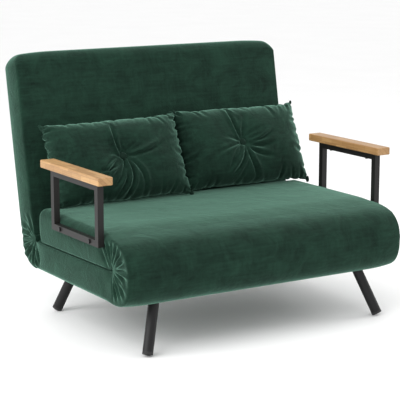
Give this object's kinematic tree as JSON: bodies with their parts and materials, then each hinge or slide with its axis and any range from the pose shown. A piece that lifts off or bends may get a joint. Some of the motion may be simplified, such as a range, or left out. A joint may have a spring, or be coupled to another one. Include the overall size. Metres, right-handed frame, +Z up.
{
  "type": "futon sofa bed",
  "caption": "Two-seat futon sofa bed in button-tufted velvet: a folded padded strip on splayed legs, with steel-loop armrests topped in wood and two loose pillows.",
  "frame": {"origin": "on the floor under the middle of the whole object's box", "axes": "+X to the right of someone facing the sofa, -Y the sofa's front, +Z up"},
  "size_m": [1.2, 0.9308, 0.9308],
  "materials": {
    "velvet": "matte",
    "pillow_velvet": "matte",
    "button_velvet": "matte",
    "pillow_filling": "matte",
    "foam": "matte",
    "slat_wood": "matte",
    "armrest_wood": "satin",
    "section_steel": "satin",
    "armrest_steel": "satin",
    "leg_steel": "satin",
    "head_leg_steel": "satin",
    "hinge_steel": "satin",
    "pin_steel": "polished",
    "fastener_black": "satin",
    "foot_rubber": "matte"
  },
  "bodies": {
    "base": {"base_cover": "velvet", "base_foam": "foam", "base_frame": "section_steel", "base_slats": "slat_wood", "front_left_foot_cap": "foot_rubber", "front_left_leg": "leg_steel", "front_left_leg_flange": "section_steel", "front_right_foot_cap": "foot_rubber", "front_right_leg": "leg_steel", "front_right_leg_flange": "section_steel", "front_roll": "velvet", "left_front_hinge_base_leaf": "hinge_steel", "left_rear_hinge_base_leaf": "hinge_steel", "leg_flange_screws": "fastener_black", "rear_left_foot_cap": "foot_rubber", "rear_left_leg": "leg_steel", "rear_left_leg_flange": "section_steel", "rear_right_foot_cap": "foot_rubber", "rear_right_leg": "leg_steel", "rear_right_leg_flange": "section_steel", "rear_roll": "velvet", "right_front_hinge_base_leaf": "hinge_steel", "right_rear_hinge_base_leaf": "hinge_steel"},
    "seat": {"armrest_bolts": "fastener_black", "armrest_spacers": "fastener_black", "armrest_wood_screws": "fastener_black", "left_armrest_frame": "armrest_steel", "left_armrest_wood": "armrest_wood", "left_front_hinge_pin": "pin_steel", "left_front_hinge_seat_leaf": "hinge_steel", "right_armrest_frame": "armrest_steel", "right_armrest_wood": "armrest_wood", "right_front_hinge_pin": "pin_steel", "right_front_hinge_seat_leaf": "hinge_steel", "seat_cover": "velvet", "seat_foam": "foam", "seat_frame": "section_steel", "seat_slats": "slat_wood"},
    "backrest": {"backrest_cover": "velvet", "backrest_foam": "foam", "backrest_frame": "section_steel", "backrest_slats": "slat_wood", "left_head_leg_bracket": "head_leg_steel", "left_head_leg_pin": "pin_steel", "left_rear_hinge_back_leaf": "hinge_steel", "left_rear_hinge_pin": "pin_steel", "right_head_leg_bracket": "head_leg_steel", "right_head_leg_pin": "pin_steel", "right_rear_hinge_back_leaf": "hinge_steel", "right_rear_hinge_pin": "pin_steel"},
    "head_leg": {"head_leg_glides": "foot_rubber", "head_leg_tube": "head_leg_steel"},
    "left_pillow": {"left_pillow_buttons": "button_velvet", "left_pillow_cover": "pillow_velvet", "left_pillow_filling": "pillow_filling"},
    "right_pillow": {"right_pillow_buttons": "button_velvet", "right_pillow_cover": "pillow_velvet", "right_pillow_filling": "pillow_filling"}
  },
  "joints": [
    {"name": "seat_flip", "type": "hinge", "parent": "base", "child": "seat", "pos_m": [0, -0.3479, 0.2955], "axis": [1, 0, 0], "range_deg": [0, 180], "deforming": ["front_roll"]},
    {"name": "backrest_recline", "type": "hinge", "parent": "base", "child": "backrest", "pos_m": [0, 0.2301, 0.29], "axis": [-1, 0, 0], "range_deg": [0, 79.5], "deforming": ["rear_roll"]},
    {"name": "head_leg_fold", "type": "hinge", "parent": "backrest", "child": "head_leg", "pos_m": [0, 0.45153, 0.85918], "axis": [1, 0, 0], "range_deg": [0, 90]},
    {"name": "left_pillow_turn", "type": "hinge", "parent": "seat", "child": "left_pillow", "pos_m": [-0.254, 0.1747, 0.3034], "axis": [1, 0, 0], "range_deg": [-246, 0]},
    {"name": "right_pillow_turn", "type": "hinge", "parent": "seat", "child": "right_pillow", "pos_m": [0.293, 0.1747, 0.3034], "axis": [1, 0, 0], "range_deg": [-246, 0]}
  ],
  "couplings": [
    {"joint": "left_pillow_turn", "follows": "seat_flip", "ratio": -1.3639},
    {"joint": "right_pillow_turn", "follows": "seat_flip", "ratio": -1.3639}
  ]
}
